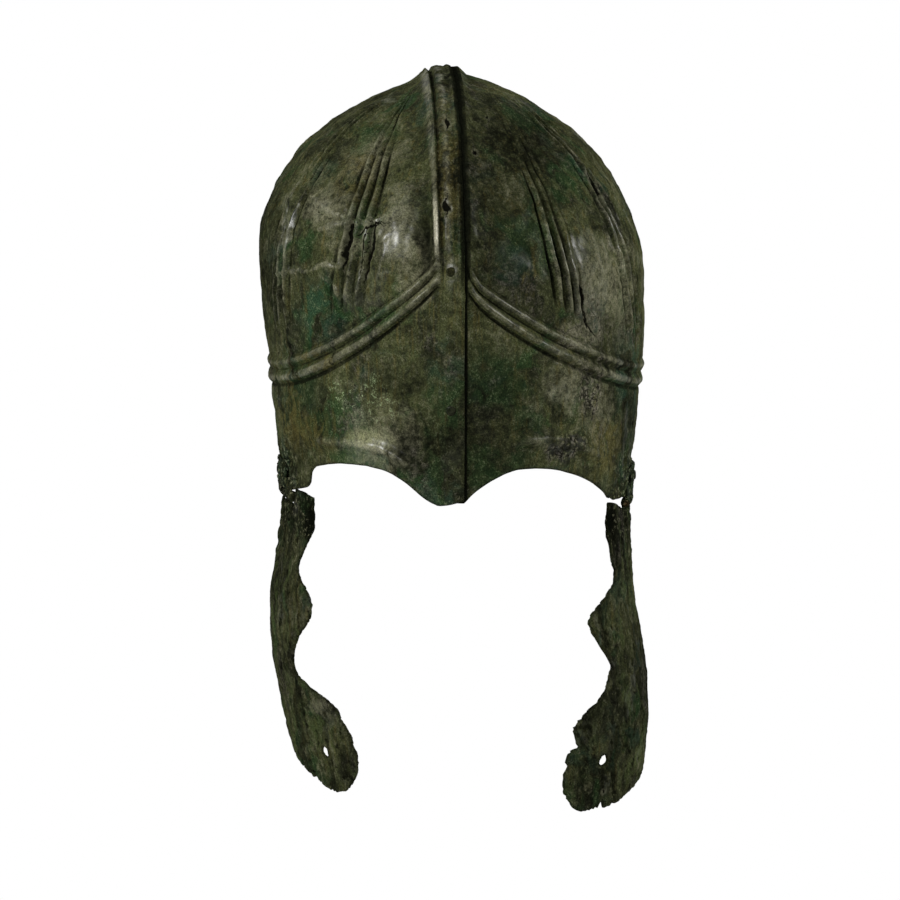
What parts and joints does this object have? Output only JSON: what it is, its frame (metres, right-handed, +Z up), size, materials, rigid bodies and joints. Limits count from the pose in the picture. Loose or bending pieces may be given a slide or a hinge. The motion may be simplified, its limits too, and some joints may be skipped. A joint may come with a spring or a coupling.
{
  "type": "chalcidian helmet",
  "caption": "Ancient open-faced bronze helmet with a keeled crest seam, fluted skull, double brow band, eye arches, ear notches and hinged scalloped cheekpieces.",
  "frame": {"origin": "the seat on the wearer's head, on the inside of the crown where the two halves meet", "axes": "+Z up, -Y towards the face, +X towards the wearer's left"},
  "size_m": [0.1956, 0.2455, 0.364],
  "materials": {
    "right_bronze": "hammered sheet under a dark olive patina with ochre streaks",
    "left_bronze": "hammered sheet under a dark olive patina with green and mauve crust",
    "cheek_bronze": "hammered sheet under a mottled green and brown patina",
    "hinge_bronze": "crusted and eroded bronze",
    "rivet_bronze": "dull bronze",
    "pin_iron": "rusted"
  },
  "bodies": {
    "skull": {"skull_half_right": "right_bronze", "skull_half_left": "left_bronze", "seam_rivet_1": "rivet_bronze", "seam_rivet_2": "rivet_bronze", "seam_rivet_3": "rivet_bronze", "seam_rivet_4": "rivet_bronze", "seam_rivet_5": "rivet_bronze", "seam_rivet_6": "rivet_bronze", "seam_rivet_7": "rivet_bronze", "seam_rivet_8": "rivet_bronze", "seam_rivet_9": "rivet_bronze", "seam_rivet_10": "rivet_bronze", "seam_rivet_11": "rivet_bronze", "seam_rivet_12": "rivet_bronze", "hinge_skull_leaf_right": "hinge_bronze", "hinge_pin_right": "pin_iron", "skull_leaf_rivet_right_1": "rivet_bronze", "skull_leaf_rivet_right_2": "rivet_bronze", "hinge_skull_leaf_left": "hinge_bronze", "hinge_pin_left": "pin_iron", "skull_leaf_rivet_left_1": "rivet_bronze", "skull_leaf_rivet_left_2": "rivet_bronze"},
    "cheek_right": {"cheekpiece_right": "cheek_bronze", "hinge_cheek_leaf_right": "hinge_bronze", "cheek_leaf_rivet_right_1": "rivet_bronze", "cheek_leaf_rivet_right_2": "rivet_bronze"},
    "cheek_left": {"cheekpiece_left": "cheek_bronze", "hinge_cheek_leaf_left": "hinge_bronze", "cheek_leaf_rivet_left_1": "rivet_bronze", "cheek_leaf_rivet_left_2": "rivet_bronze"}
  },
  "joints": [
    {"name": "cheek_right_swing", "type": "hinge", "parent": "skull", "child": "cheek_right", "pos_m": [-0.0822, -0.02, -0.2061], "axis": [-0.1288, 0.9917, 0], "range_deg": [-10, 70]},
    {"name": "cheek_left_swing", "type": "hinge", "parent": "skull", "child": "cheek_left", "pos_m": [0.0865, -0.02, -0.2101], "axis": [-0.1392, -0.9903, 0], "range_deg": [-10, 70]}
  ]
}
